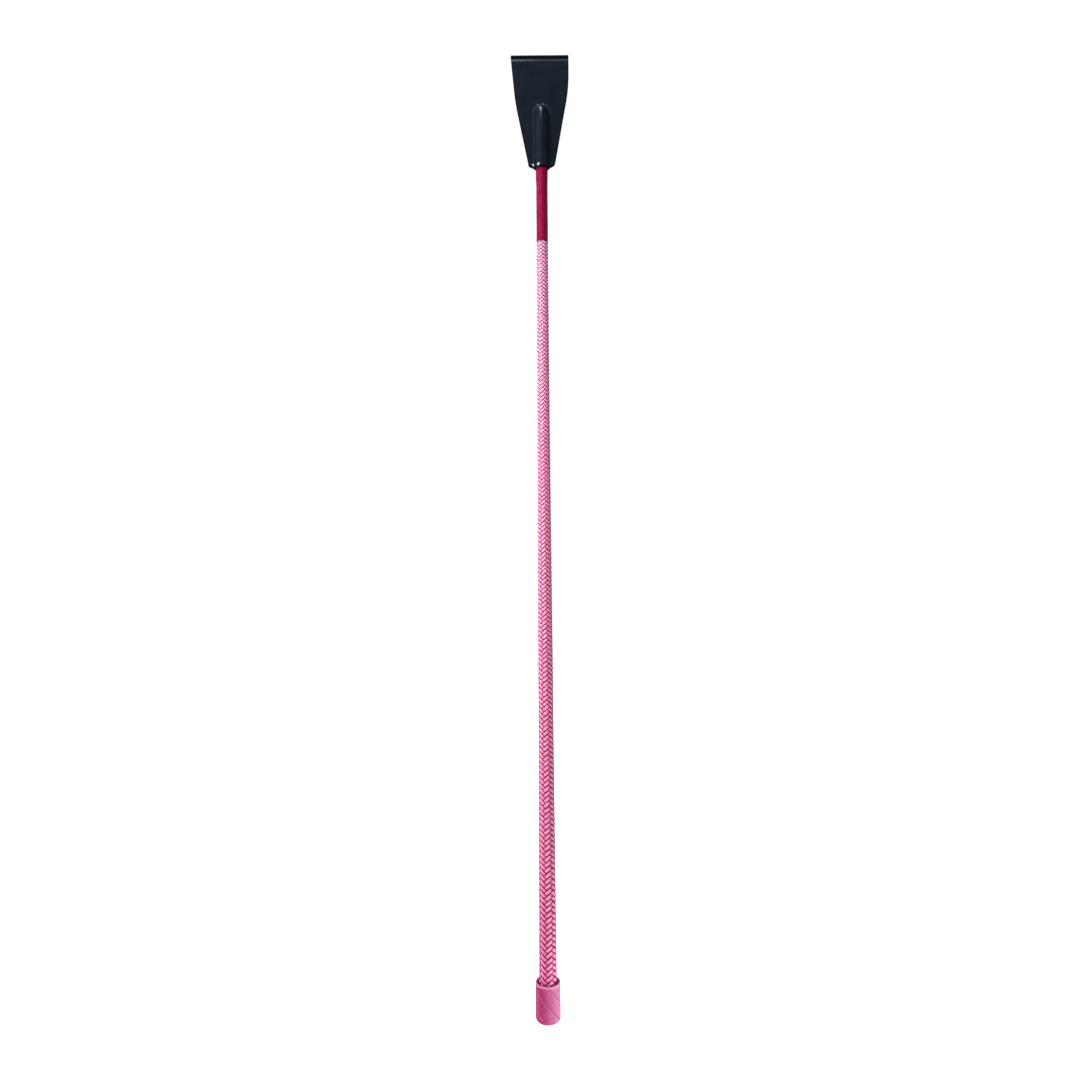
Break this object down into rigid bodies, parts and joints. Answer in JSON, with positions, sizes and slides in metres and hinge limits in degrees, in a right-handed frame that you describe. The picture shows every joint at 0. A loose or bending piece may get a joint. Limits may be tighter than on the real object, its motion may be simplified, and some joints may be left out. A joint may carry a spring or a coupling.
{
  "type": "riding crop",
  "caption": "Riding crop with a tapered braided shaft that springs back when bent, a folded leather tongue that flexes at the tip, and a grooved rubber cap on the butt.",
  "frame": {"origin": "centre of the flat foot of the butt cap", "axes": "+Z along the shaft from the butt cap to the tongue, +X across the tongue's width, +Y through its thickness; the tongue's front faces -Y"},
  "size_m": [0.039, 0.017, 0.65],
  "materials": {
    "cap_rubber": "matte moulded",
    "braid_nylon": "satin woven",
    "whipping_thread": "satin wound",
    "binding_thread": "matte wound",
    "rod_fibreglass": "matte drawn",
    "sleeve_foam": "matte moulded",
    "bead_nylon": "gloss moulded",
    "tongue_leather": "satin grained"
  },
  "bodies": {
    "grip": {"butt_cap": "cap_rubber", "butt_binding": "binding_thread", "core_rod_grip": "rod_fibreglass", "core_sleeve_grip": "sleeve_foam", "braid_grip": "braid_nylon"},
    "lower": {"core_rod_lower": "rod_fibreglass", "core_sleeve_lower": "sleeve_foam", "braid_lower": "braid_nylon"},
    "middle": {"core_rod_middle": "rod_fibreglass", "core_sleeve_middle": "sleeve_foam", "braid_middle": "braid_nylon"},
    "upper": {"core_rod_upper": "rod_fibreglass", "core_sleeve_upper": "sleeve_foam", "braid_upper": "braid_nylon"},
    "tip": {"core_rod_tip": "rod_fibreglass", "core_sleeve_tip": "sleeve_foam", "braid_tip": "braid_nylon", "tip_sleeve": "sleeve_foam", "tip_whipping": "whipping_thread", "tip_bead": "bead_nylon", "tongue_front_leaf": "tongue_leather", "tongue_back_leaf": "tongue_leather"},
    "flap": {"tongue_flap": "tongue_leather"}
  },
  "joints": [
    {"name": "shaft_bend_lower", "type": "hinge", "parent": "grip", "child": "lower", "pos_m": [0, 0, 0.18], "axis": [1, 0, 0], "range_deg": [-7, 7], "stiffness_Nm_per_rad": 17.5},
    {"name": "shaft_bend_middle", "type": "hinge", "parent": "lower", "child": "middle", "pos_m": [0, 0, 0.276], "axis": [1, 0, 0], "range_deg": [-7, 7], "stiffness_Nm_per_rad": 13.8},
    {"name": "shaft_bend_upper", "type": "hinge", "parent": "middle", "child": "upper", "pos_m": [0, 0, 0.372], "axis": [1, 0, 0], "range_deg": [-7, 7], "stiffness_Nm_per_rad": 10.6},
    {"name": "shaft_bend_tip", "type": "hinge", "parent": "upper", "child": "tip", "pos_m": [0, 0, 0.468], "axis": [1, 0, 0], "range_deg": [-7, 7], "stiffness_Nm_per_rad": 8.1},
    {"name": "tongue_flex", "type": "hinge", "parent": "tip", "child": "flap", "pos_m": [0, 0, 0.62], "axis": [1, 0, 0], "range_deg": [-60, 60], "stiffness_Nm_per_rad": 0.1}
  ]
}
